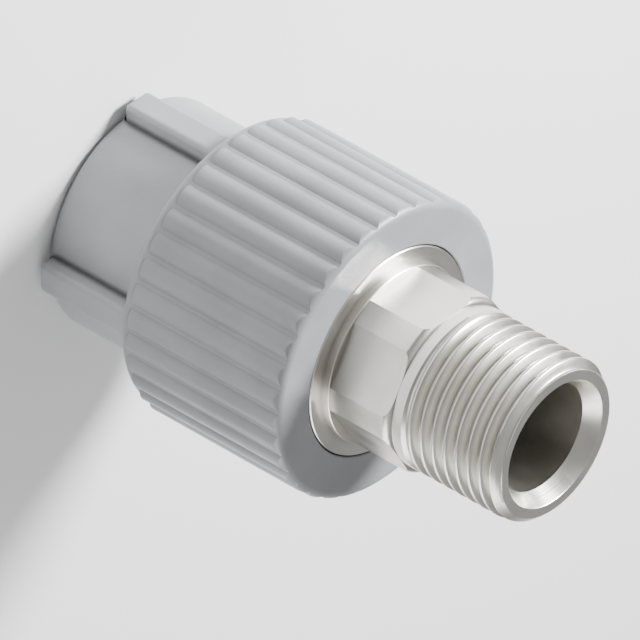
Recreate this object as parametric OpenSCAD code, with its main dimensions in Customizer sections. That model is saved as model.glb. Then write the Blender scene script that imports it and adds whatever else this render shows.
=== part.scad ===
// Transition fitting: a union that joins a plastic pipe to a threaded metal pipe.
// The axis of the fitting is Z. The socket's end face lies at z = 0 and the threaded end points up.

/* [Socket end] */
// Outside diameter of the socket
socket_od = 29.6; // [28.6:0.1:29.8]
// Bore of the socket, which takes the pipe
socket_bore = 20.2; // [20:0.05:20.6]
// Depth of the socket bore, from the end face to the pipe stop
socket_depth = 16; // [12:0.5:22]
// Chamfer at the mouth of the socket bore
socket_chamfer = 0.6; // [0.3:0.1:1.2]
// Rounding of the socket's outer edge at the end face
socket_round = 1.4; // [0.4:0.1:2]
// Length of the socket that stands out of the nut
socket_exposed = 15.25; // [12:0.25:22]
// Bore of the waterway beyond the pipe stop
waterway_bore = 15; // [12:0.5:16]

/* [Grip ribs] */
// Number of ribs round the socket
rib_count = 4; // [2:1:8]
// Width of a rib
rib_width = 4; // [2:0.2:6]
// Height of a rib above the socket
rib_height = 2.1; // [1:0.1:2.6]
// Rounding of a rib's outer edges
rib_round = 0.4; // [0.2:0.05:0.8]
// Distance from the end face to the start of the ribs
rib_start = 1.2; // [0.5:0.1:6]
// Distance that the ribs stop short of the nut
rib_gap = 0.35; // [0.2:0.05:1]

/* [Union thread] */
// Major diameter of the thread between the socket end and the nut
union_thread_od = 33.25; // [33:0.05:34]
// Pitch of that thread
union_pitch = 2.309; // [1.6:0.001:2.4]
// Running gap between the two threads, measured on the radius
union_gap = 0.3; // [0.1:0.05:0.5]
// Distance that the thread stops short of the nut's back
thread_setback = 0.6; // [0.2:0.1:2]
// Chamfer at the leading ends of both threads
thread_lead = 0.8; // [0.4:0.1:1.2]

/* [Sealing ring] */
// Diameter of the ring's cord before it is squeezed
ring_cord = 3.53; // [3:0.01:3.6]
// Wall between the ring's groove and the roots of the thread round it
groove_wall = 1.2; // [0.8:0.1:1.6]
// Distance that the flange squeezes the cord
ring_squeeze = 0.63; // [0.4:0.01:0.8]
// Side clearance of the ring in its groove
ring_clear = 0.15; // [0.05:0.05:0.25]
// Gap left between the socket end's face and the flange
face_gap = 0.3; // [0.1:0.05:0.5]

/* [Union nut] */
// Length of the nut
nut_len = 25.2; // [22:0.1:30]
// Wall of the nut between its thread's roots and the lands between its teeth
nut_wall = 2.225; // [1.8:0.005:3]
// Number of teeth round the nut
tooth_count = 36; // [24:1:40]
// Depth of the teeth
tooth_depth = 0.43; // [0.3:0.01:0.6]
// Width of the flat land between two teeth
tooth_land = 0.49; // [0.3:0.01:0.8]
// Length of the plain band behind the teeth
band_len = 1.6; // [1.2:0.1:4]
// Rounding of the nut's outer edges
nut_round = 1.15; // [0.4:0.05:1.2]
// Thickness of the lip that holds the flange
lip_len = 3.9; // [3:0.1:5]
// Clearance between the hub and the lip, on the radius
hub_clear = 0.15; // [0.1:0.05:0.3]

/* [Threaded end] */
// Thickness of the flange behind the lip
flange_len = 3.35; // [2.5:0.05:5]
// Clearance between the flange and the nut's thread crests, on the radius
flange_clear = 0.25; // [0.1:0.05:0.4]
// Chamfer of the flange's outer edges
flange_chamfer = 0.3; // [0.1:0.05:0.5]
// How far the flange reaches under the lip, on the radius
lip_overlap = 1.45; // [1:0.05:2]
// Step from the body up to the collar behind it, on the radius
collar_step = 0.2; // [0.1:0.05:0.6]
// Length of the collar
collar_len = 1.05; // [0.5:0.05:2]
// How far the body's round stretches stand above the spanner flats
flat_depth = 0.8; // [0.4:0.05:1]
// Length of the body
body_len = 8.99; // [6:0.01:12]
// Rounding at the front edge of the body
body_round = 1; // [0.9:0.05:1.5]
// Width across the spanner flats
across_flats = 21; // [21:0.05:21.6]
// Number of spanner flats
flat_count = 6; // [4:2:8]
// Major diameter of the pipe thread
thread_od = 20.955; // [20.5:0.005:20.98]
// Length of the pipe thread in front of the body, with its end chamfer
thread_len = 16.06; // [12:0.01:20]
// Chamfer at the end of the pipe thread
thread_chamfer = 1; // [0.5:0.05:1.2]
// Bore through the threaded end
end_bore = 14; // [12:0.1:15]
// How much wider the bore's mouth is, on the radius
mouth_flare = 1.14; // [0.4:0.02:1.3]
// Depth of the tapered mouth
mouth_depth = 2; // [1:0.1:4]

/* [Hidden] */
$fn = 96;
// A small overlap that lets a cut run past the surface it opens
over = 0.5;
// Distance that the nut's front rounding starts outside the tooth tips, so that it cuts every tip
tip_ease = 0.05;

// Levels along the axis
nut_back_z = socket_exposed;
nut_front_z = nut_back_z + nut_len;
lip_z = nut_front_z - lip_len;
flange_z = lip_z - flange_len;
bush_z = flange_z - face_gap;
body_z = nut_front_z + collar_len;
thread_z = body_z + body_len;
tip_z = thread_z + thread_len;

// Radii of the union thread, a plain band at its pitch line on each piece
WHITWORTH_DEPTH = 0.640327;
union_depth = WHITWORTH_DEPTH * union_pitch;
union_pitch_r = (union_thread_od - union_depth) / 2;
bush_r = union_pitch_r - union_gap / 2;
nut_bore_r = union_pitch_r + union_gap / 2;
union_crest_r = union_thread_od / 2 - union_depth;

// The sealing ring and its groove in the socket end's face
ring_height = ring_cord - ring_squeeze;
ring_width = ring_cord + ring_squeeze / 2;
groove_depth = ring_height - face_gap;
groove_width = ring_width + 2 * ring_clear;
ring_mid_r = union_crest_r - groove_wall - groove_width / 2;
groove_z = bush_z - groove_depth;

// Each tooth is an arc through its tip and the edges of the lands beside it
land_r = union_thread_od / 2 + nut_wall;
tip_r = land_r + tooth_depth;
land_half_angle = asin(tooth_land / 2 / land_r);
tooth_half_angle = 180 / tooth_count - land_half_angle;
tooth_half_width = land_r * sin(tooth_half_angle);
tooth_rise = tip_r - land_r * cos(tooth_half_angle);
tooth_r = (tooth_half_width ^ 2 + tooth_rise ^ 2) / (2 * tooth_rise);

// Radii along the threaded end
flange_r = union_crest_r - flange_clear;
hub_r = flange_r - lip_overlap;
body_r = across_flats / 2 + flat_depth;
collar_r = body_r + collar_step;

// Half section of the last layer of a disc, with its outer corner rounded or chamfered
module edge_layer(r, size, rounded) {
    square([r - size, size]);
    if (rounded) {
        intersection() {
            translate([r - size, 0]) circle(size);
            square([r, size]);
        }
    } else {
        polygon([[r - size, 0], [r, 0], [r - size, size]]);
    }
}

// A disc on the axis from level z0 to z1, whose lower and upper edges are eased by low and high
module disc(r, z0, z1, low = 0, high = 0, rounded = true) {
    rotate_extrude() {
        translate([0, z0 + low]) square([r, z1 - z0 - low - high]);
        if (low > 0) {
            translate([0, z0 + low]) mirror([0, 1]) edge_layer(r, low, rounded);
        }
        if (high > 0) {
            translate([0, z1 - high]) edge_layer(r, high, rounded);
        }
    }
}

// A hole on the axis from level z0 to z1
module hole(r, z0, z1) {
    translate([0, 0, z0]) cylinder(r = r, h = z1 - z0);
}

// A tapered hole from radius r0 at level z0 to radius r1 at level z1, run on past both ends
module taper_hole(r0, z0, r1, z1) {
    slope = (r1 - r0) / (z1 - z0);
    low = r0 > r1 ? over : 0;
    high = r1 > r0 ? over : 0;
    translate([0, 0, z0 - low]) {
        cylinder(r1 = r0 - slope * low, r2 = r1 + slope * high, h = z1 - z0 + low + high);
    }
}

// One straight rib with rounded outer edges, standing on the socket's wall
module rib() {
    inner = socket_od / 2 - over;
    height = rib_height + over;
    translate([inner, 0, rib_start]) linear_extrude(nut_back_z - rib_gap - rib_start) union() {
        translate([0, -rib_width / 2]) square([height - rib_round, rib_width]);
        translate([0, -rib_width / 2 + rib_round]) square([height, rib_width - 2 * rib_round]);
        for (side = [-1, 1]) {
            translate([height - rib_round, side * (rib_width / 2 - rib_round)]) circle(rib_round);
        }
    }
}

// Plastic piece with the pipe socket, the male union thread and the groove for the ring
module socket_end() color("gainsboro") difference() {
    union() {
        disc(socket_od / 2, 0, nut_back_z + thread_setback + over, low = socket_round);
        disc(bush_r, nut_back_z + thread_setback, bush_z, high = thread_lead, rounded = false);
        for (i = [0:rib_count - 1]) {
            rotate([0, 0, i * 360 / rib_count]) rib();
        }
    }
    hole(socket_bore / 2, -over, socket_depth);
    taper_hole(socket_bore / 2 + socket_chamfer, 0, socket_bore / 2, socket_chamfer);
    hole(waterway_bore / 2, socket_depth - over, bush_z + over);
    difference() {
        hole(ring_mid_r + groove_width / 2, groove_z, bush_z + over);
        hole(ring_mid_r - groove_width / 2, groove_z - over, bush_z + 2 * over);
    }
}

// Rubber ring, squeezed flat between the floor of its groove and the flange
module o_ring() color("dimgray") rotate_extrude() {
    translate([ring_mid_r, groove_z + ring_height / 2]) intersection() {
        circle(ring_width / 2);
        square([ring_width, ring_height], center = true);
    }
}

// Outline of the nut across its teeth
module tooth_outline() {
    circle(land_r);
    for (i = [0:tooth_count - 1]) {
        rotate(i * 360 / tooth_count) translate([tip_r - tooth_r, 0]) circle(tooth_r);
    }
}

// Plastic nut with a toothed grip, a female thread and a lip over the flange
module union_nut() color("lightgray") difference() {
    union() {
        disc(land_r, nut_back_z, nut_back_z + band_len, low = nut_round);
        intersection() {
            translate([0, 0, nut_back_z + band_len]) linear_extrude(nut_len) tooth_outline();
            disc(tip_r + tip_ease, nut_back_z + band_len, nut_front_z, high = nut_round + tip_ease);
        }
    }
    hole(nut_bore_r, nut_back_z - over, lip_z);
    taper_hole(nut_bore_r + thread_lead, nut_back_z, nut_bore_r, nut_back_z + thread_lead);
    hole(hub_r + hub_clear, lip_z - over, nut_front_z + over);
}

// Metal piece with the flange, the spanner flats and the male pipe thread
module threaded_end() color("silver") difference() {
    union() {
        disc(flange_r, flange_z, lip_z, flange_chamfer, flange_chamfer, rounded = false);
        disc(hub_r, lip_z - over, nut_front_z);
        disc(collar_r, nut_front_z - over, body_z);
        intersection() {
            disc(body_r, body_z - over, thread_z, high = body_round);
            spanner_flats();
        }
        disc(thread_od / 2, thread_z - body_round, tip_z, high = thread_chamfer, rounded = false);
    }
    hole(end_bore / 2, flange_z - over, tip_z + over);
    taper_hole(end_bore / 2, tip_z - mouth_depth, end_bore / 2 + mouth_flare, tip_z);
}

// Prism whose sides are the spanner flats, with a flat facing +X
module spanner_flats() {
    rotate([0, 0, 180 / flat_count]) translate([0, 0, body_z - over]) {
        cylinder(r = across_flats / 2 / cos(180 / flat_count), h = body_len + 2 * over, $fn = flat_count);
    }
}

socket_end();
o_ring();
union_nut();
threaded_end();
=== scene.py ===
import math

import bmesh
import bpy
from mathutils import Matrix, Vector


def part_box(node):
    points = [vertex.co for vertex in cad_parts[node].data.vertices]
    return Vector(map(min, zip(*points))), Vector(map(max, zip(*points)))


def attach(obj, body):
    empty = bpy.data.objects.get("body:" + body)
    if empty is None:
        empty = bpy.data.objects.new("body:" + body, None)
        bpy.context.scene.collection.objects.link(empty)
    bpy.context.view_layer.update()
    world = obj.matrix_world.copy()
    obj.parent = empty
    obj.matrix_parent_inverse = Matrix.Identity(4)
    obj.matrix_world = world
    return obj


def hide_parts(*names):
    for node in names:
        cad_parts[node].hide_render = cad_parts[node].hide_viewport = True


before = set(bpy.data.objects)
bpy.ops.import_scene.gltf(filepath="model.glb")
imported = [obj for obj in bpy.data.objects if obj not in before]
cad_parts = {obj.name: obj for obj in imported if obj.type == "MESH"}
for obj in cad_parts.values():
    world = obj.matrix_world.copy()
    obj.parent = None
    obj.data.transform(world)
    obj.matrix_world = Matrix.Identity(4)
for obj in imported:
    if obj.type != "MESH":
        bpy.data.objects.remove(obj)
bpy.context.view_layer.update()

MM = 0.001
TURN = 2 * math.pi
QUARTER_TURN = TURN / 4

# Directions in a section, in degrees
DOWN = -90
OUT = 0
IN = 180

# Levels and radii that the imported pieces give, in millimetres
_, socket_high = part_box("socket_end")
nut_low, nut_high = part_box("union_nut")
end_low, end_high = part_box("threaded_end")
ring_low, ring_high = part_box("o_ring")

RIB_TOP_R = socket_high.x / MM
BUSH_Z = socket_high.z / MM
NUT_BACK_Z = nut_low.z / MM
NUT_FRONT_Z = nut_high.z / MM
TIP_R = nut_high.x / MM
FLANGE_R = end_high.x / MM
FLANGE_Z = end_low.z / MM
END_Z = end_high.z / MM
GROOVE_Z = ring_low.z / MM
RING_TOP_Z = ring_high.z / MM
RING_OUTER_R = ring_high.x / MM

# The socket end
SOCKET_R = 14.8
SOCKET_BORE_R = 10.1
SOCKET_DEPTH = 16
SOCKET_CHAMFER = 0.6
SOCKET_ROUND = 1.4
WATERWAY_R = 7.5
RIB_COUNT = 4
RIB_WIDTH = 4
RIB_ROUND = 0.65
RIB_START_Z = 0.88
RIB_EDGE = 0.12
RIB_GAP = 0.35
RING_WIDTH = 3.845
GROOVE_INNER_R = 9.8
GROOVE_OUTER_R = 13.95
FACE_EDGE = 0.15

# The union thread
UNION_PITCH = 2.309
UNION_MAJOR_R = 16.6
UNION_CLEAR = 0.16
UNION_START_Z = NUT_BACK_Z + 0.6
UNION_LEAD = 0.8

# The union nut
TOOTH_COUNT = 36
TOOTH_DEPTH = 0.43
TOOTH_LAND = 0.49
LAND_R = TIP_R - TOOTH_DEPTH
NUT_BAND = 1.6
NUT_ROUND = 1.15
LIP_LENGTH = 3.9
LIP_Z = NUT_FRONT_Z - LIP_LENGTH
NUT_HOLE_R = 13.6
HOLE_EDGE = 0.12
NUT_MOUTH_R = 16.84
RELIEF_LENGTH = 2

# The threaded end
FLANGE_CHAMFER = 0.3
HUB_R = 13.45
HUB_EDGE = 0.12
COLLAR_R = 11.5
COLLAR_LENGTH = 1.05
COLLAR_EDGE = 0.1
BODY_Z = NUT_FRONT_Z + COLLAR_LENGTH
BODY_LENGTH = 8.99
BODY_TOP_Z = BODY_Z + BODY_LENGTH
BODY_R = 11.3
BODY_ROUND = 1
FLAT_COUNT = 6
ACROSS_FLATS = 21
THREAD_R = 20.955 / 2
THREAD_PITCH = 1.814
THREAD_START_Z = BODY_TOP_Z + 1.4
THREAD_RUNOUT = 1.6
THREAD_CHAMFER = 1
BORE_R = 7
BORE_EDGE = 0.3
MOUTH_R = 8.14
MOUTH_DEPTH = 2
MOUTH_EDGE = 0.1

# The rounded 55 degree thread form, in shares of the pitch from a crest's middle
FLANK_SHARES = [0.25, 0.75]
ROOT_SHARE = 0.5
FORM_DEPTH = 0.640327
FORM_ROUND = 0.137329
FLANK_ANGLE = math.radians(27.5)
FORM_ROUND_TURN = QUARTER_TURN - FLANK_ANGLE
FORM_ROUND_REACH = FORM_ROUND * math.sin(FORM_ROUND_TURN)
FORM_ROUND_DROP = FORM_ROUND * (1 - math.cos(FORM_ROUND_TURN))

# How finely the meshes are cut, and how their points are joined
ARC_STEPS = 6
FORM_STEPS = 3
TOOTH_STEPS = 10
FLAT_STEPS = 22
CORNER_STEPS = 12
RIB_FLAT_STEPS = 4
RIB_ROUND_STEPS = 5
WALL_STEPS = 50
RING_STEPS = 144
RING_SECTION_STEPS = 10
SPARE_TURNS = 2
WELD_DECIMALS = 6
SMOOTH_ANGLE = math.radians(24)

# The camera as the photograph has it
AXIS_PICTURE_ANGLE = math.radians(29.1)
CAMERA_ELEVATION = math.radians(31.71)
RIB_VIEW_ANGLE = math.radians(43.37)
PICTURE_SIZE = 640
NUT_CENTRE_PIXEL = (387.58, 351.05)
PIXEL = 0.11637 * MM
LENS = 1400
SENSOR = 36
CLIP_FACTOR = 2

# The stage, where a lamp's way goes aside, towards the camera and up
FLOOR_SIZE = 3
KEY_WAY = (-1, -0.1, 0.8)
KEY_POWER = 5.5
KEY_SIZE = 0.12
FILL_WAY = (1, -0.2, 0.3)
FILL_POWER = 1.2
FILL_SIZE = 0.3
LAMP_DISTANCE = 0.35
SIDE_GLOW = 0.3
TOP_GLOW = 0.6

# Colours
SOCKET_DARK = (0.25, 0.26, 0.27)
SOCKET_LIGHT = (0.3, 0.31, 0.32)
NUT_DARK = (0.19, 0.2, 0.21)
NUT_LIGHT = (0.24, 0.25, 0.26)
METAL_DARK = (0.55, 0.53, 0.49)
METAL_LIGHT = (0.64, 0.62, 0.58)
RUBBER_DARK = (0.02, 0.02, 0.02)
RUBBER_LIGHT = (0.04, 0.04, 0.04)
FLOOR_DARK = (0.8, 0.8, 0.8)
FLOOR_LIGHT = (0.84, 0.84, 0.84)
PALE = (1, 1, 1, 1)

# Noise: the values that most of it lies between, and how many finer layers it has
NOISE_LOW = 0.3
NOISE_HIGH = 0.7
FEW_LAYERS = 2
SOME_LAYERS = 3
MANY_LAYERS = 5

# Plastic: the size of what varies in it, how rough it is and how deep its surface marks are
CLOUD_SIZE = 9 * MM
GLOSS_SIZE = 3 * MM
PLASTIC_SMOOTH = 0.3
PLASTIC_ROUGH = 0.42
PLASTIC_IOR = 1.5
WAVE_SIZE = 3.5 * MM
WAVE_DEPTH = 0.03 * MM
GRAIN_SIZE = 0.45 * MM
GRAIN_DEPTH = 0.02 * MM

# Plated metal, with turned marks round the axis and milled marks in arcs across the flats
PLATE_SIZE = 6 * MM
PLATE_GLOSS_SIZE = 2.5 * MM
TURN_SIZE = 0.25 * MM
TURN_DEPTH = 0.012 * MM
TURN_SMOOTH = 0.28
TURN_ROUGH = 0.35
MILL_SIZE = 0.35 * MM
MILL_DEPTH = 0.02 * MM
MILL_SMOOTH = 0.28
MILL_ROUGH = 0.36
MILL_R = 12 * MM

# How far a milled face may lie off its flat, in millimetres, and how far it may lean
FLAT_TOLERANCE = 0.05
LEAN_TOLERANCE = 0.1

# Rubber and floor
RUBBER_CLOUD_SIZE = 2 * MM
RUBBER_GLOSS_SIZE = 1 * MM
RUBBER_SMOOTH = 0.5
RUBBER_ROUGH = 0.68
RUBBER_GRAIN_SIZE = 0.2 * MM
RUBBER_GRAIN_DEPTH = 0.01 * MM
FLOOR_CLOUD_SIZE = 0.4
FLOOR_ROUGH = 0.7

# Painted shade in crevices: how far crevices are felt, and how dark the shade painted into their closed parts
# is
CREVICE_SAMPLES = 16
CREVICE_CLOSED = 0.7
CREVICE_OPEN = 0.95
PLASTIC_CREVICE = 1.2 * MM
PLASTIC_SHADE_SHARE = 0.3
METAL_CREVICE = 0.8 * MM
METAL_SHADE_SHARE = 0.85


def form_drop(share):
    """Depth below the crest, in pitches, at a distance of share pitches from the crest's middle."""
    off = abs((share + ROOT_SHARE) % 1 - ROOT_SHARE)
    if off <= FORM_ROUND_REACH:
        return FORM_ROUND - math.sqrt(FORM_ROUND**2 - off**2)
    if off >= ROOT_SHARE - FORM_ROUND_REACH:
        rest = ROOT_SHARE - off
        return FORM_DEPTH - FORM_ROUND + math.sqrt(FORM_ROUND**2 - rest**2)
    return FORM_ROUND_DROP + (off - FORM_ROUND_REACH) / math.tan(FLANK_ANGLE)


def thread_shares():
    """Places along one pitch that a thread's form needs rows at."""
    steps = range(-FORM_STEPS, FORM_STEPS + 1)
    crest = [FORM_ROUND * math.sin(FORM_ROUND_TURN * step / FORM_STEPS) for step in steps]
    root = [ROOT_SHARE + x for x in crest]
    return sorted(crest + root + FLANK_SHARES)


def thread_rows(angle, low, high, pitch, radius):
    """Points (r, z) up one side of a right-hand thread, whose rows climb with the angle.

    Rows that would lie past an end are pressed back onto it, so that each column has as many.
    """
    lead = pitch * angle / TURN
    first = math.floor(low / pitch) - SPARE_TURNS
    count = math.ceil((high - low) / pitch) + 2 * SPARE_TURNS
    rows = []
    for turn in range(first, first + count):
        for share in thread_shares():
            z = (turn + share) * pitch + lead
            z = min(max(z, low), high)
            rows.append((radius(z, lead), z))
    return rows


def arc(centre_r, centre_z, radius, start, end, steps=ARC_STEPS):
    """Points (r, z) on an arc between two angles, in degrees from the outward direction."""
    points = []
    for step in range(steps + 1):
        angle = math.radians(start + (end - start) * step / steps)
        points.append((centre_r + radius * math.cos(angle), centre_z + radius * math.sin(angle)))
    return points


def arc_between(centre_r, centre_z, radius, start_r, end_r):
    """Points (r, z) on an arc in a circle's upper outer quarter, from start_r to end_r."""
    shares = [min(1, (r - centre_r) / radius) for r in (start_r, end_r)]
    start, end = [math.degrees(math.acos(share)) for share in shares]
    return arc(centre_r, centre_z, radius, start, end)


def columns_of(outline, section):
    """One closed section for each (angle, shape) of an outline, and the first again a turn later.

    A section's points are (r, z), or (r, z, turn) where a point is turned from its column's angle.
    """
    columns = []
    for angle, shape in outline + [(outline[0][0] + TURN, outline[0][1])]:
        column = []
        for r, z, *turn in section(angle, shape):
            spin = angle + sum(turn)
            column.append((r * math.cos(spin), r * math.sin(spin), z))
        columns.append(column)
    return columns


def join_columns(columns):
    """The points and faces of a closed mesh through the columns' points, with equal points joined."""
    points = []
    places = {}

    def place(point):
        """Number of a point among the mesh's points."""
        key = tuple(round(value, WELD_DECIMALS) + 0.0 for value in point)
        if key not in places:
            places[key] = len(points)
            points.append(tuple(value * MM for value in point))
        return places[key]

    grid = [[place(point) for point in column] for column in columns]
    faces = set()
    rows = len(grid[0])
    for near, far in zip(grid, grid[1:]):
        for row in range(rows):
            following = (row + 1) % rows
            loop = [near[row], far[row], far[following], near[following]]
            face = [x for i, x in enumerate(loop) if x != loop[i - 1]]
            if len(set(face)) == len(face) and len(face) > 2:
                faces.add(tuple(face))
    return points, sorted(faces)


def mesh_piece(name, columns, body, node):
    """A closed piece through the columns' points, which stands for a CAD node on its body."""
    points, faces = join_columns(columns)
    mesh = bpy.data.meshes.new(name)
    mesh.from_pydata(points, [], faces)
    mesh.validate()
    shape = bmesh.new()
    shape.from_mesh(mesh)
    bmesh.ops.recalc_face_normals(shape, faces=shape.faces)
    shape.to_mesh(mesh)
    shape.free()
    for face in mesh.polygons:
        face.use_smooth = True
    mesh.set_sharp_from_angle(angle=SMOOTH_ANGLE)
    piece = bpy.data.objects.new(name, mesh)
    bpy.context.scene.collection.objects.link(piece)
    weighted = piece.modifiers.new("flat faces stay flat", "WEIGHTED_NORMAL")
    weighted.keep_sharp = True
    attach(piece, body)
    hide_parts(node)
    return piece


def rib_outline():
    """Outline (angle, spot) round the socket, where spot is None on the plain wall between the ribs.

    A spot on a rib is the centre (x, y) of the rounding of its edges and the way from there to the surface.
    """
    half = RIB_WIDTH / 2
    centre_x = RIB_TOP_R - RIB_ROUND
    centre_y = half - RIB_ROUND
    turns = [QUARTER_TURN * (1 - step / RIB_ROUND_STEPS) for step in range(RIB_ROUND_STEPS + 1)]
    foot = (math.sqrt(SOCKET_R**2 - half**2), centre_y, turns[0])
    edge = [(centre_x, centre_y, way) for way in turns]
    top = [(centre_x, centre_y * (1 - step / RIB_FLAT_STEPS), 0) for step in range(1, RIB_FLAT_STEPS + 1)]
    upper = [foot] + edge + top
    rib = [(x, -y, -way) for x, y, way in upper[:-1]] + upper[::-1]
    foot_angle = rib_place(foot, 0)[1]
    gap = TURN / RIB_COUNT - 2 * foot_angle
    around = [(rib_place(spot, 0)[1], spot) for spot in rib]
    around += [(foot_angle + gap * step / WALL_STEPS, None) for step in range(1, WALL_STEPS)]
    return [(angle + i * TURN / RIB_COUNT, spot) for i in range(RIB_COUNT) for angle, spot in around]


def rib_place(spot, inset):
    """Radius and angle, from the rib's middle, of a spot on a rib that is smaller all round by inset."""
    x, y, way = spot
    reach = RIB_ROUND - inset
    x += reach * math.cos(way)
    y += reach * math.sin(way)
    return math.hypot(x, y), math.atan2(y, x)


def rib_row(spot, inset, z, wall_r):
    """Point of one row on a rib that is smaller all round by inset, and never inside the wall."""
    if spot is None:
        return wall_r, z
    radius, angle = rib_place(spot, inset)
    return max(wall_r, radius), z, angle - rib_place(spot, 0)[1]


def tooth_outline():
    """Outline (angle, radius) round the nut: an arc for each tooth and a flat land between two teeth."""
    half = math.pi / TOOTH_COUNT - math.asin(TOOTH_LAND / 2 / LAND_R)
    width = LAND_R * math.sin(half)
    rise = TIP_R - LAND_R * math.cos(half)
    tooth_r = (width**2 + rise**2) / (2 * rise)
    centre = TIP_R - tooth_r
    outline = []
    for tooth in range(TOOTH_COUNT):
        for step in range(TOOTH_STEPS + 1):
            off = half * (2 * step / TOOTH_STEPS - 1)
            radius = centre * math.cos(off) + math.sqrt(tooth_r**2 - (centre * math.sin(off)) ** 2)
            outline.append((tooth * TURN / TOOTH_COUNT + off, radius))
    return outline


def flat_outline():
    """Outline (angle, radius) round the body of the threaded end, with its spanner flats."""
    half = math.acos(ACROSS_FLATS / 2 / BODY_R)
    corner = TURN / FLAT_COUNT - 2 * half
    offs = [half * (2 * step / FLAT_STEPS - 1) for step in range(FLAT_STEPS + 1)]
    outline = []
    for flat in range(FLAT_COUNT):
        middle = flat * TURN / FLAT_COUNT
        outline += [(middle + off, ACROSS_FLATS / 2 / math.cos(off)) for off in offs]
        outline += [(middle + half + corner * step / CORNER_STEPS, BODY_R) for step in range(1, CORNER_STEPS)]
    return outline


def ring_outline():
    """Outline (angle, None) round the sealing ring, whose section is the same all round."""
    return [(TURN * step / RING_STEPS, None) for step in range(RING_STEPS)]


def form_radius(z, lead, pitch, major_r):
    """Radius of a thread's surface at level z, where its crest has climbed by lead."""
    return major_r - pitch * form_drop((z - lead) / pitch)


def socket_section(angle, spot):
    """Section of the socket end, from the bore's mouth up the outside and down the inside."""
    def wall(z):
        """Radius of the socket's wall at level z."""
        low = max(0, SOCKET_ROUND - z)
        return SOCKET_R - SOCKET_ROUND + math.sqrt(SOCKET_ROUND**2 - low**2)

    def thread(z, lead):
        """Radius of the union thread at level z, between its two tapered ends."""
        form = form_radius(z, lead, UNION_PITCH, UNION_MAJOR_R)
        front = UNION_MAJOR_R - UNION_LEAD + BUSH_Z - z
        back = SOCKET_R + z - UNION_START_Z
        return min(form, front, back)

    rib_end_z = NUT_BACK_Z - RIB_GAP
    round_end = -math.degrees(math.asin(1 - RIB_START_Z / SOCKET_ROUND))
    lower = arc(SOCKET_R - SOCKET_ROUND, SOCKET_ROUND, SOCKET_ROUND, DOWN, round_end)
    rib = []
    for step in range(RIB_ROUND_STEPS + 1):
        turn = QUARTER_TURN * step / RIB_ROUND_STEPS
        z = RIB_START_Z + RIB_ROUND * (1 - math.cos(turn))
        rib.append(rib_row(spot, RIB_ROUND * (1 - math.sin(turn)), z, wall(z)))
    rib += [
        rib_row(spot, 0, rib_end_z - RIB_EDGE, SOCKET_R),
        rib_row(spot, RIB_EDGE, rib_end_z, SOCKET_R),
        (SOCKET_R, rib_end_z),
    ]
    inside = [
        (GROOVE_OUTER_R + FACE_EDGE, BUSH_Z),
        (GROOVE_OUTER_R, BUSH_Z - FACE_EDGE),
        (GROOVE_OUTER_R, GROOVE_Z),
        (GROOVE_INNER_R, GROOVE_Z),
        (GROOVE_INNER_R, BUSH_Z - FACE_EDGE),
        (GROOVE_INNER_R - FACE_EDGE, BUSH_Z),
        (WATERWAY_R + FACE_EDGE, BUSH_Z),
        (WATERWAY_R, BUSH_Z - FACE_EDGE),
        (WATERWAY_R, SOCKET_DEPTH + FACE_EDGE),
        (WATERWAY_R + FACE_EDGE, SOCKET_DEPTH),
        (SOCKET_BORE_R, SOCKET_DEPTH),
        (SOCKET_BORE_R, SOCKET_CHAMFER),
        (SOCKET_BORE_R + SOCKET_CHAMFER, 0),
    ]
    return lower + rib + thread_rows(angle, UNION_START_Z, BUSH_Z, UNION_PITCH, thread) + inside


def nut_section(angle, tooth_r):
    """Section of the union nut, from its back up the outside and down through its thread."""
    band_z = NUT_BACK_Z + NUT_BAND
    relief_r = UNION_MAJOR_R + UNION_CLEAR
    relief_z = LIP_Z - RELIEF_LENGTH

    def thread(z, lead):
        """Radius of the nut's thread at level z, between its mouth and its relief."""
        form = form_radius(z, lead, UNION_PITCH, UNION_MAJOR_R) + UNION_CLEAR
        mouth = NUT_MOUTH_R - (z - NUT_BACK_Z)
        relief = relief_r - (relief_z - z)
        return max(form, mouth, relief)

    front_r = TIP_R - NUT_ROUND
    outside = arc(LAND_R - NUT_ROUND, NUT_BACK_Z + NUT_ROUND, NUT_ROUND, DOWN, OUT)
    outside += [(LAND_R, band_z), (tooth_r, band_z)]
    outside += arc_between(front_r, NUT_FRONT_Z - NUT_ROUND, NUT_ROUND, tooth_r, front_r)
    hole = [
        (NUT_HOLE_R + HOLE_EDGE, NUT_FRONT_Z),
        (NUT_HOLE_R, NUT_FRONT_Z - HOLE_EDGE),
        (NUT_HOLE_R, LIP_Z + HOLE_EDGE),
        (NUT_HOLE_R + HOLE_EDGE, LIP_Z),
        (relief_r, LIP_Z),
    ]
    thread_up = thread_rows(angle, NUT_BACK_Z, relief_z, UNION_PITCH, thread)
    return outside + hole + thread_up[::-1]


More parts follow.
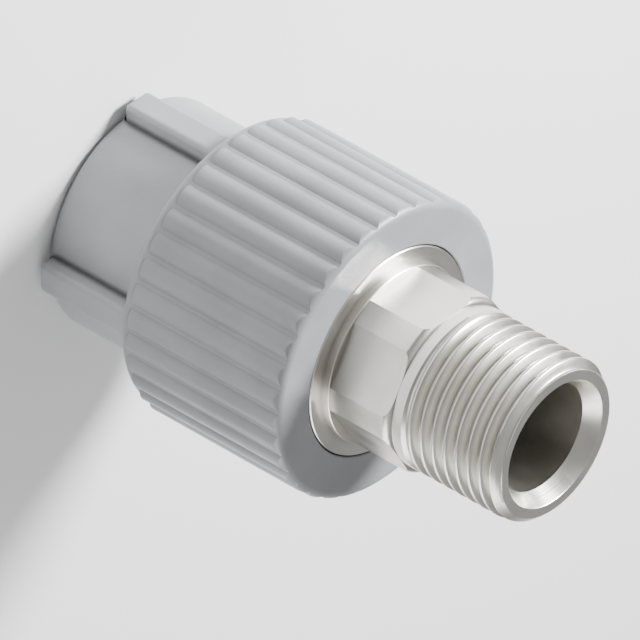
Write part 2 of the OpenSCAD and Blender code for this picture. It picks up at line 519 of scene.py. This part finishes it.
def end_section(angle, body_r):
    """Section of the threaded end, from the flange's back up the outside and down the bore."""
    def thread(z, lead):
        """Radius of the pipe thread at level z, from its run-out to its end chamfer."""
        fade = min(1, max(0, (z - THREAD_START_Z) / THREAD_RUNOUT))
        form = THREAD_R - fade * (THREAD_R - form_radius(z, lead, THREAD_PITCH, THREAD_R))
        return min(form, THREAD_R - THREAD_CHAMFER + END_Z - z)

    flange = [
        (BORE_R + BORE_EDGE, FLANGE_Z),
        (FLANGE_R - FLANGE_CHAMFER, FLANGE_Z),
        (FLANGE_R, FLANGE_Z + FLANGE_CHAMFER),
        (FLANGE_R, LIP_Z - FLANGE_CHAMFER),
        (FLANGE_R - FLANGE_CHAMFER, LIP_Z),
        (HUB_R, LIP_Z),
        (HUB_R, NUT_FRONT_Z - HUB_EDGE),
        (HUB_R - HUB_EDGE, NUT_FRONT_Z),
        (COLLAR_R, NUT_FRONT_Z),
        (COLLAR_R, BODY_Z - COLLAR_EDGE),
        (COLLAR_R - COLLAR_EDGE, BODY_Z),
        (body_r, BODY_Z),
    ]
    shoulder = arc_between(BODY_R - BODY_ROUND, BODY_TOP_Z - BODY_ROUND, BODY_ROUND, body_r, THREAD_R)
    mouth = [
        (MOUTH_R + MOUTH_EDGE, END_Z),
        (MOUTH_R, END_Z - MOUTH_EDGE),
        (BORE_R, END_Z - MOUTH_DEPTH),
        (BORE_R, FLANGE_Z + BORE_EDGE),
    ]
    return flange + shoulder + thread_rows(angle, THREAD_START_Z, END_Z, THREAD_PITCH, thread) + mouth


def ring_section(_angle, _shape):
    """Section of the sealing ring: a round cord squeezed flat above and below."""
    middle_z = (GROOVE_Z + RING_TOP_Z) / 2
    half = (RING_TOP_Z - GROOVE_Z) / 2
    cord_r = RING_WIDTH / 2
    middle_r = RING_OUTER_R - cord_r
    tilt = math.degrees(math.asin(half / cord_r))
    outer = arc(middle_r, middle_z, cord_r, OUT - tilt, OUT + tilt, RING_SECTION_STEPS)
    inner = arc(middle_r, middle_z, cord_r, IN - tilt, IN + tilt, RING_SECTION_STEPS)
    return outer + inner


def put(tree, socket, value):
    """Sets an input socket to a value, or links it to another node's output."""
    if isinstance(value, bpy.types.NodeSocket):
        tree.links.new(value, socket)
    else:
        socket.default_value = value


def maths(tree, operation, *values):
    """The output of a maths node on values or sockets."""
    node = tree.nodes.new("ShaderNodeMath")
    node.operation = operation
    for socket, value in zip(node.inputs, values):
        put(tree, socket, value)
    return node.outputs[0]


def distance(tree, x, y):
    """How far a place is from the origin of two coordinates."""
    squares = [maths(tree, "MULTIPLY", value, value) for value in (x, y)]
    return maths(tree, "SQRT", maths(tree, "ADD", *squares))


def place_on_piece(tree):
    """The piece's own coordinates, and its x, y and z apart."""
    place = tree.nodes.new("ShaderNodeTexCoord").outputs["Object"]
    apart = tree.nodes.new("ShaderNodeSeparateXYZ")
    put(tree, apart.inputs[0], place)
    return place, apart.outputs


def combine(tree, *values):
    """A vector of three values or sockets."""
    node = tree.nodes.new("ShaderNodeCombineXYZ")
    for socket, value in zip(node.inputs, values):
        put(tree, socket, value)
    return node.outputs[0]


def noise(tree, vector, size, layers=SOME_LAYERS):
    """Noise whose patches are about size metres across, with finer layers over them."""
    node = tree.nodes.new("ShaderNodeTexNoise")
    put(tree, node.inputs["Vector"], vector)
    put(tree, node.inputs["Scale"], 1 / size)
    put(tree, node.inputs["Detail"], layers)
    return node.outputs["Fac"]


def spread(tree, factor, low, high):
    """A value from low to high over the usual spread of noise."""
    node = tree.nodes.new("ShaderNodeMapRange")
    put(tree, node.inputs["Value"], factor)
    put(tree, node.inputs["From Min"], NOISE_LOW)
    put(tree, node.inputs["From Max"], NOISE_HIGH)
    put(tree, node.inputs["To Min"], low)
    put(tree, node.inputs["To Max"], high)
    return node.outputs["Result"]


def shade(tree, factor, low, high):
    """A colour from low to high over the usual spread of noise."""
    node = tree.nodes.new("ShaderNodeValToRGB")
    put(tree, node.inputs["Fac"], factor)
    first, last = node.color_ramp.elements
    first.position = NOISE_LOW
    first.color = (*low, 1)
    last.position = NOISE_HIGH
    last.color = (*high, 1)
    return node.outputs["Color"]


def raise_by(tree, height, depth, below=None):
    """The normal of a surface that a height from 0 to 1 raises by up to depth metres."""
    node = tree.nodes.new("ShaderNodeBump")
    put(tree, node.inputs["Height"], height)
    put(tree, node.inputs["Distance"], depth)
    if below is not None:
        put(tree, node.inputs["Normal"], below)
    return node.outputs["Normal"]


def painted_crevice_shade(tree, color, reach, share):
    """A colour with painted shade in crevices: it falls to a share of itself deep in crevices of the given
    reach.
    """
    open_share = tree.nodes.new("ShaderNodeAmbientOcclusion")
    open_share.only_local = True
    open_share.samples = CREVICE_SAMPLES
    put(tree, open_share.inputs["Distance"], reach)
    fall = tree.nodes.new("ShaderNodeMapRange")
    put(tree, fall.inputs["Value"], open_share.outputs["AO"])
    put(tree, fall.inputs["From Min"], CREVICE_CLOSED)
    put(tree, fall.inputs["From Max"], CREVICE_OPEN)
    put(tree, fall.inputs["To Min"], share)
    scale = tree.nodes.new("ShaderNodeVectorMath")
    scale.operation = "SCALE"
    put(tree, scale.inputs["Vector"], color)
    put(tree, scale.inputs["Scale"], fall.outputs["Result"])
    return scale.outputs["Vector"]


def new_material(name):
    """A new material with its node tree and the inputs of its shader."""
    material = bpy.data.materials.new(name)
    material.use_nodes = True
    tree = material.node_tree
    return material, tree, tree.nodes["Principled BSDF"].inputs


def moulded_plastic(name, dark, light):
    """Satin moulded plastic: faint clouds in its colour, painted shade in its crevices, a slight waviness and
    a fine grain.
    """
    material, tree, inputs = new_material(name)
    place, _ = place_on_piece(tree)
    color = shade(tree, noise(tree, place, CLOUD_SIZE, MANY_LAYERS), dark, light)
    gloss = noise(tree, place, GLOSS_SIZE, MANY_LAYERS)
    waves = raise_by(tree, noise(tree, place, WAVE_SIZE, FEW_LAYERS), WAVE_DEPTH)
    # Painted shade: the base colour is darkened in crevices, where shade falls
    put(tree, inputs["Base Color"], painted_crevice_shade(tree, color, PLASTIC_CREVICE, PLASTIC_SHADE_SHARE))
    put(tree, inputs["Roughness"], spread(tree, gloss, PLASTIC_SMOOTH, PLASTIC_ROUGH))
    put(tree, inputs["Normal"], raise_by(tree, noise(tree, place, GRAIN_SIZE), GRAIN_DEPTH, waves))
    put(tree, inputs["IOR"], PLASTIC_IOR)
    return material


def plated_metal(name, marks, mark_size, mark_depth, smooth, rough):
    """Plated metal with the fine marks of the tool that cut it, on the coordinates that marks gives, and
    painted shade in its crevices.
    """
    material, tree, inputs = new_material(name)
    place, apart = place_on_piece(tree)
    color = shade(tree, noise(tree, place, PLATE_SIZE, MANY_LAYERS), METAL_DARK, METAL_LIGHT)
    gloss = noise(tree, place, PLATE_GLOSS_SIZE, MANY_LAYERS)
    # Painted shade: the base colour is darkened in crevices, where shade falls
    put(tree, inputs["Base Color"], painted_crevice_shade(tree, color, METAL_CREVICE, METAL_SHADE_SHARE))
    put(tree, inputs["Roughness"], spread(tree, gloss, smooth, rough))
    put(tree, inputs["Normal"], raise_by(tree, noise(tree, marks(tree, apart), mark_size), mark_depth))
    put(tree, inputs["Metallic"], 1)
    return material


def turned_marks(tree, apart):
    """Coordinates that stay the same round the axis, so that marks run in circles."""
    x, y, z = apart
    return combine(tree, distance(tree, x, y), 0, z)


def milled_marks(tree, apart):
    """Coordinates along each spanner flat, with marks in wide arcs from one side of it to the other."""
    x, y, z = apart
    step = TURN / FLAT_COUNT
    turned = maths(tree, "ADD", maths(tree, "ARCTAN2", y, x), TURN + step / 2)
    off = maths(tree, "SUBTRACT", maths(tree, "MODULO", turned, step), step / 2)
    along = maths(tree, "MULTIPLY", maths(tree, "TANGENT", off), ACROSS_FLATS / 2 * MM)
    drop = maths(tree, "SUBTRACT", z, BODY_Z * MM - MILL_R)
    return combine(tree, distance(tree, along, drop), 0, 0)


def seal_rubber(name):
    """Black rubber with a fine matt grain."""
    material, tree, inputs = new_material(name)
    place, _ = place_on_piece(tree)
    color = shade(tree, noise(tree, place, RUBBER_CLOUD_SIZE), RUBBER_DARK, RUBBER_LIGHT)
    gloss = noise(tree, place, RUBBER_GLOSS_SIZE)
    put(tree, inputs["Base Color"], color)
    put(tree, inputs["Roughness"], spread(tree, gloss, RUBBER_SMOOTH, RUBBER_ROUGH))
    put(tree, inputs["Normal"], raise_by(tree, noise(tree, place, RUBBER_GRAIN_SIZE), RUBBER_GRAIN_DEPTH))
    return material


def dress_socket_end():
    """The plastic socket end with its four ribs and its union thread."""
    columns = columns_of(rib_outline(), socket_section)
    piece = mesh_piece("socket_end_look", columns, "socket", "socket_end")
    piece.data.materials.append(moulded_plastic("socket_plastic", SOCKET_DARK, SOCKET_LIGHT))


def dress_ring():
    """The rubber ring in the groove of the socket end."""
    columns = columns_of(ring_outline(), ring_section)
    piece = mesh_piece("o_ring_look", columns, "socket", "o_ring")
    piece.data.materials.append(seal_rubber("seal_rubber"))


def dress_union_nut():
    """The plastic union nut with its teeth and its inner thread."""
    columns = columns_of(tooth_outline(), nut_section)
    piece = mesh_piece("union_nut_look", columns, "nut", "union_nut")
    piece.data.materials.append(moulded_plastic("nut_plastic", NUT_DARK, NUT_LIGHT))


def sharpen_between_finishes(mesh):
    """Keeps the edge crisp wherever two finishes of one mesh meet."""
    shape = bmesh.new()
    shape.from_mesh(mesh)
    for edge in shape.edges:
        if len({face.material_index for face in edge.link_faces}) > 1:
            edge.smooth = False
    shape.to_mesh(mesh)
    shape.free()


def dress_threaded_end():
    """The metal end with its flange, its spanner flats and its pipe thread."""
    columns = columns_of(flat_outline(), end_section)
    piece = mesh_piece("threaded_end_look", columns, "end", "threaded_end")
    turned = plated_metal("turned_metal", turned_marks, TURN_SIZE, TURN_DEPTH, TURN_SMOOTH, TURN_ROUGH)
    milled = plated_metal("milled_metal", milled_marks, MILL_SIZE, MILL_DEPTH, MILL_SMOOTH, MILL_ROUGH)
    finishes = piece.data.materials
    finishes.append(turned)
    finishes.append(milled)
    milled_index = finishes.find(milled.name)
    for face in piece.data.polygons:
        across = face.normal.dot(face.center) / MM
        on_body = BODY_Z < face.center.z / MM < BODY_TOP_Z
        on_flat = abs(across - ACROSS_FLATS / 2) < FLAT_TOLERANCE and abs(face.normal.z) < LEAN_TOLERANCE
        if on_body and on_flat:
            face.material_index = milled_index
    sharpen_between_finishes(piece.data)


def place_camera():
    """The camera, which sees the fitting as the photograph does."""
    lean = (math.cos(AXIS_PICTURE_ANGLE), math.sin(AXIS_PICTURE_ANGLE))
    depth = (math.cos(CAMERA_ELEVATION), math.sin(CAMERA_ELEVATION))
    z_seen = Vector((lean[0] * depth[0], -lean[1] * depth[0], depth[1]))
    across = Vector((lean[1], lean[0], 0))
    away = Vector((lean[0] * depth[1], -lean[1] * depth[1], -depth[0]))
    x_seen = across * math.sin(RIB_VIEW_ANGLE) - away * math.cos(RIB_VIEW_ANGLE)
    y_seen = z_seen.cross(x_seen)
    turn = Matrix((x_seen, y_seen, z_seen))
    right, up, back = turn.transposed()
    shift_x = (PICTURE_SIZE / 2 - NUT_CENTRE_PIXEL[0]) * PIXEL
    shift_y = (NUT_CENTRE_PIXEL[1] - PICTURE_SIZE / 2) * PIXEL
    middle = Vector((0, 0, NUT_FRONT_Z * MM)) + right * shift_x + up * shift_y
    reach = PICTURE_SIZE * PIXEL * LENS / SENSOR
    camera = bpy.data.objects.new("camera", bpy.data.cameras.new("camera"))
    camera.data.lens = LENS
    camera.data.sensor_width = SENSOR
    camera.data.clip_end = CLIP_FACTOR * reach
    camera.matrix_world = Matrix.Translation(middle + back * reach) @ turn.to_4x4()
    bpy.context.scene.collection.objects.link(camera)
    bpy.context.scene.camera = camera
    return back


def place_light(name, direction, size, power):
    """A soft round lamp that faces the middle of the fitting."""
    lamp = bpy.data.objects.new(name, bpy.data.lights.new(name, "AREA"))
    lamp.data.shape = "DISK"
    lamp.data.size = size
    lamp.data.energy = power
    middle = Vector((0, 0, END_Z / 2 * MM))
    lamp.location = middle + direction.normalized() * LAMP_DISTANCE
    lamp.rotation_euler = direction.to_track_quat("Z", "Y").to_euler()
    bpy.context.scene.collection.objects.link(lamp)


def place_floor():
    """A plain pale floor under the fitting."""
    half = FLOOR_SIZE / 2
    mesh = bpy.data.meshes.new("floor")
    corners = [(-half, -half, 0), (half, -half, 0), (half, half, 0), (-half, half, 0)]
    mesh.from_pydata(corners, [], [(0, 1, 2, 3)])
    floor = bpy.data.objects.new("floor", mesh)
    bpy.context.scene.collection.objects.link(floor)
    material, tree, inputs = new_material("pale_floor")
    place, _ = place_on_piece(tree)
    clouds = noise(tree, place, FLOOR_CLOUD_SIZE)
    put(tree, inputs["Base Color"], shade(tree, clouds, FLOOR_DARK, FLOOR_LIGHT))
    put(tree, inputs["Roughness"], FLOOR_ROUGH)
    mesh.materials.append(material)


def light_studio(back):
    """A key light, a weaker one on the other side, and pale surroundings."""
    toward = Vector((back.x, back.y, 0)).normalized()
    aside = Vector((-toward.y, toward.x, 0))
    above = Vector((0, 0, 1))
    stand = Matrix((aside, toward, above)).transposed()
    place_light("key_light", stand @ Vector(KEY_WAY), KEY_SIZE, KEY_POWER)
    place_light("fill_light", stand @ Vector(FILL_WAY), FILL_SIZE, FILL_POWER)
    world = bpy.data.worlds.new("studio")
    world.use_nodes = True
    tree = world.node_tree
    apart = tree.nodes.new("ShaderNodeSeparateXYZ")
    put(tree, apart.inputs[0], tree.nodes.new("ShaderNodeTexCoord").outputs["Generated"])
    glow = tree.nodes.new("ShaderNodeMapRange")
    put(tree, glow.inputs["Value"], apart.outputs["Z"])
    put(tree, glow.inputs["To Min"], SIDE_GLOW)
    put(tree, glow.inputs["To Max"], TOP_GLOW)
    put(tree, tree.nodes["Background"].inputs["Color"], PALE)
    put(tree, tree.nodes["Background"].inputs["Strength"], glow.outputs["Result"])
    bpy.context.scene.world = world


place_floor()
light_studio(place_camera())
dress_socket_end()
dress_ring()
dress_union_nut()
dress_threaded_end()
